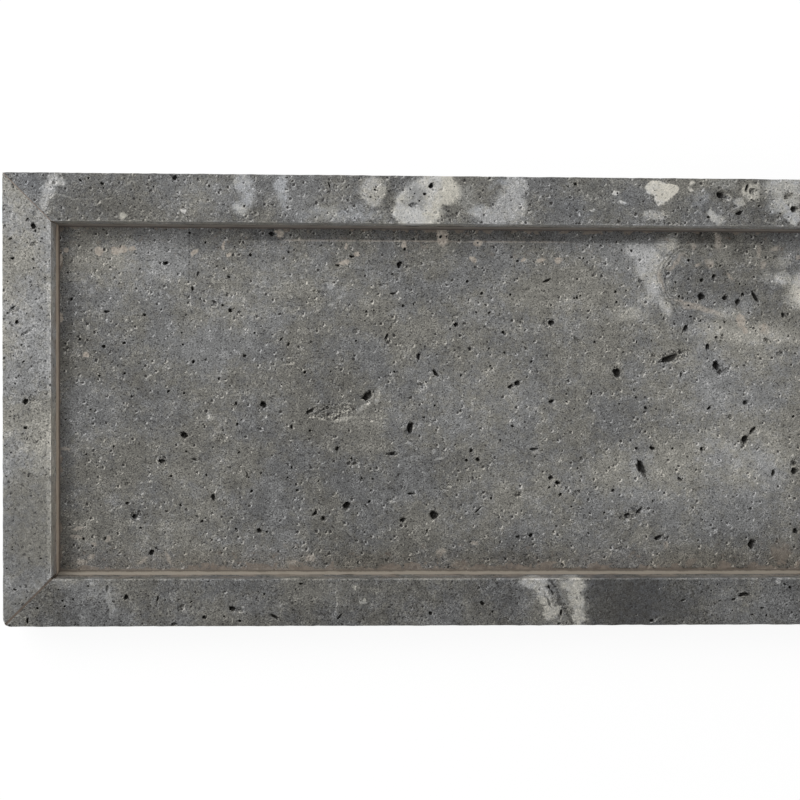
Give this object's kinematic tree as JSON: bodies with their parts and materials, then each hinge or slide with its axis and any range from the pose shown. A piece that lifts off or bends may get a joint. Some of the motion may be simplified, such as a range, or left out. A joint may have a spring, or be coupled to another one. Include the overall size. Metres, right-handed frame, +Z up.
{
  "type": "stone tray",
  "caption": "Long shallow rectangular tray of pitted grey travertine: mitred stone rim strips glued round an inset stone floor, standing on small round pads.",
  "frame": {"origin": "centre of the underside, on the surface that the pads stand on", "axes": "+X along the tray to its right end, +Y across it to its back rail, +Z up out of the well"},
  "size_m": [0.4, 0.2, 0.0273],
  "materials": {
    "floor_stone": "matte",
    "rail_stone": "matte",
    "seam_resin": "matte",
    "bead_resin": "satin",
    "pad_rubber": "matte"
  },
  "bodies": {
    "root": {"floor_panel": "floor_stone", "rail_back": "rail_stone", "rail_front": "rail_stone", "rail_left": "rail_stone", "rail_right": "rail_stone", "seam_back_left": "seam_resin", "seam_back_right": "seam_resin", "seam_front_left": "seam_resin", "seam_front_right": "seam_resin", "joint_back": "seam_resin", "joint_front": "seam_resin", "joint_left": "seam_resin", "joint_right": "seam_resin", "bead_back": "bead_resin", "bead_front": "bead_resin", "bead_left": "bead_resin", "bead_right": "bead_resin", "pad_back_left": "pad_rubber", "pad_back_right": "pad_rubber", "pad_front_left": "pad_rubber", "pad_front_right": "pad_rubber"}
  },
  "joints": []
}
